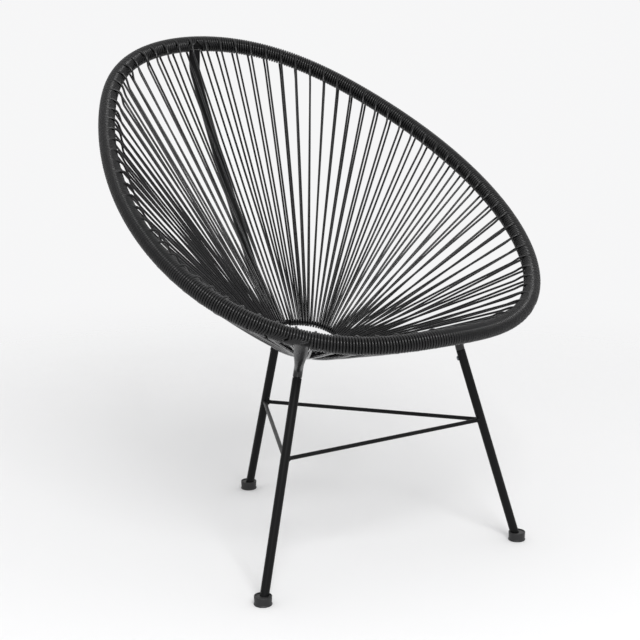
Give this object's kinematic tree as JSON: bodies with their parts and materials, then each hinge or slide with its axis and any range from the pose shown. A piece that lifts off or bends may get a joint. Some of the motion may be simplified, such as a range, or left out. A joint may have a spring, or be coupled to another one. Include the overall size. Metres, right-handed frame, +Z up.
{
  "type": "acapulco chair",
  "caption": "Open lounge chair with a steel hoop strung with plastic cord to a small centre ring, carried on raked tubular legs joined by thin stretchers.",
  "frame": {"origin": "on the floor, under the middle of the chair's outline seen from above", "axes": "+Z up, -Y is the way the sitter faces, +X to the right seen from the front; the chair mirrors left to right about the plane X = 0"},
  "size_m": [0.7729, 0.8742, 0.8978],
  "materials": {
    "frame_coat": "satin powder coat",
    "cord": "semi-gloss",
    "glide": "satin",
    "screw": "zinc plated"
  },
  "bodies": {
    "root": {"rim_hoop": "frame_coat", "centre_ring": "frame_coat", "spine_tube": "frame_coat", "ring_tongue": "frame_coat", "arm_front_left": "frame_coat", "arm_front_right": "frame_coat", "leg_front_left": "frame_coat", "leg_front_right": "frame_coat", "leg_rear": "frame_coat", "stretcher_front": "frame_coat", "stretcher_left": "frame_coat", "stretcher_right": "frame_coat", "foot_glide_front_left": "glide", "leg_screw_front_left": "screw", "foot_glide_front_right": "glide", "leg_screw_front_right": "screw", "foot_glide_rear": "glide", "leg_screw_rear": "screw", "cord_panel_1": "cord", "cord_panel_2": "cord", "cord_panel_3": "cord", "cord_panel_4": "cord", "cord_panel_5": "cord", "cord_panel_6": "cord", "cord_panel_7": "cord", "cord_panel_8": "cord", "cord_panel_9": "cord", "cord_panel_10": "cord"}
  },
  "joints": []
}
